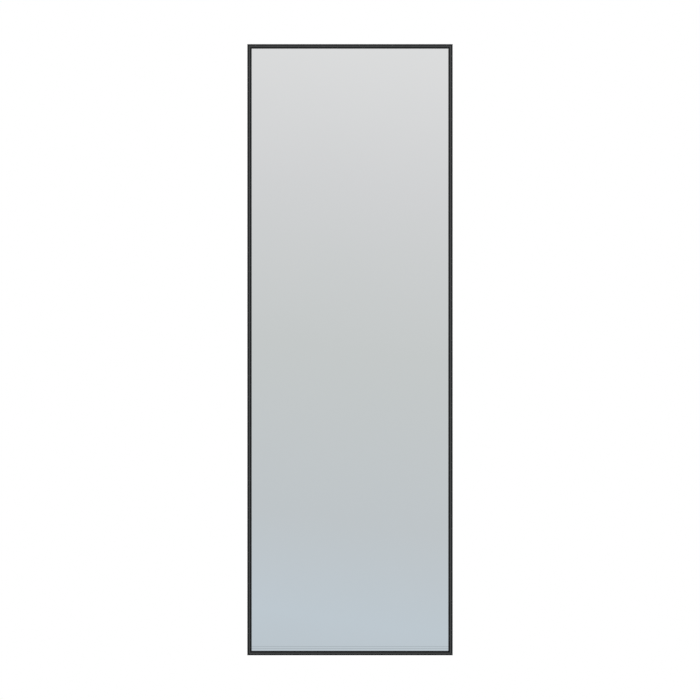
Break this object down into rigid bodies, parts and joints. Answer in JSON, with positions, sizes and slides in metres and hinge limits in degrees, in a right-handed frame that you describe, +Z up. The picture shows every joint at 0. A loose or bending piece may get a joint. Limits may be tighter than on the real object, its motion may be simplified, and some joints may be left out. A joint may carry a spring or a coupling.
{
  "type": "pull-out closet mirror",
  "caption": "Tall narrow black-framed mirror that pulls out of a closet on a side-mounted ball slide and swings a quarter turn on a friction swivel.",
  "frame": {"origin": "middle of the slide's back face, on the closet wall, halfway up the leaf and in the middle of its width", "axes": "+X is the way the leaf pulls out, +Y points into the closet's side wall, +Z is up; the glass faces -Y"},
  "size_m": [0.336, 0.0528, 1],
  "materials": {
    "frame": "matt black powder coat",
    "corner_key": "die cast, grey",
    "screw": "black oxide",
    "mirror": "silvered float glass",
    "safety_film": "grey film",
    "back_board": "dark grey faced fibreboard",
    "zinc_sheet": "zinc plated sheet",
    "bracket": "matt black powder coat",
    "rivet": "zinc plated",
    "washer": "natural nylon",
    "bolt": "zinc plated",
    "rail": "bright zinc plated",
    "retainer": "plated sheet and polished balls",
    "bumper": "black moulded plastic"
  },
  "bodies": {
    "wall_rail": {"outer_rail": "rail", "rear_bumper": "bumper"},
    "outer_retainer": {"outer_ball_retainer": "retainer"},
    "middle_stage": {"middle_rail": "rail"},
    "inner_retainer": {"inner_ball_retainer": "retainer"},
    "carriage": {"inner_rail": "rail", "swivel_fork": "bracket", "fork_rivet_1": "rivet", "fork_rivet_2": "rivet", "fork_rivet_3": "rivet", "fork_rivet_4": "rivet", "upper_friction_washer": "washer", "lower_friction_washer": "washer", "disc_spring": "bolt", "pivot_nut": "bolt", "pivot_bolt": "bolt"},
    "leaf": {"frame_bottom_rail": "frame", "frame_rear_stile": "frame", "frame_top_rail": "frame", "frame_front_stile": "frame", "corner_key_top_front": "corner_key", "corner_key_top_rear": "corner_key", "corner_key_bottom_front": "corner_key", "corner_key_bottom_rear": "corner_key", "corner_screw_1": "screw", "corner_screw_2": "screw", "corner_screw_3": "screw", "corner_screw_4": "screw", "corner_screw_5": "screw", "corner_screw_6": "screw", "corner_screw_7": "screw", "corner_screw_8": "screw", "cross_screw_1": "screw", "cross_screw_2": "screw", "cross_screw_3": "screw", "cross_screw_4": "screw", "mirror_glass": "mirror", "safety_film": "safety_film", "back_board": "back_board", "cross_member": "zinc_sheet", "leaf_bracket": "bracket", "leaf_rivet_1": "rivet", "leaf_rivet_2": "rivet", "leaf_rivet_3": "rivet", "leaf_rivet_4": "rivet"}
  },
  "joints": [
    {"name": "pull_out", "type": "slide", "parent": "wall_rail", "child": "carriage", "axis": [1, 0, 0], "range_m": [0, 0.3]},
    {"name": "middle_rail_slide", "type": "slide", "parent": "wall_rail", "child": "middle_stage", "axis": [1, 0, 0], "range_m": [0, 0.15]},
    {"name": "outer_retainer_slide", "type": "slide", "parent": "wall_rail", "child": "outer_retainer", "axis": [1, 0, 0], "range_m": [0, 0.075]},
    {"name": "inner_retainer_slide", "type": "slide", "parent": "wall_rail", "child": "inner_retainer", "axis": [1, 0, 0], "range_m": [0, 0.225]},
    {"name": "mirror_swivel", "type": "hinge", "parent": "carriage", "child": "leaf", "pos_m": [0.142, -0.02465, 0], "axis": [0, 0, 1], "range_deg": [0, 90]}
  ],
  "couplings": [
    {"joint": "middle_rail_slide", "follows": "pull_out", "ratio": 0.5},
    {"joint": "outer_retainer_slide", "follows": "pull_out", "ratio": 0.25},
    {"joint": "inner_retainer_slide", "follows": "pull_out", "ratio": 0.75}
  ]
}
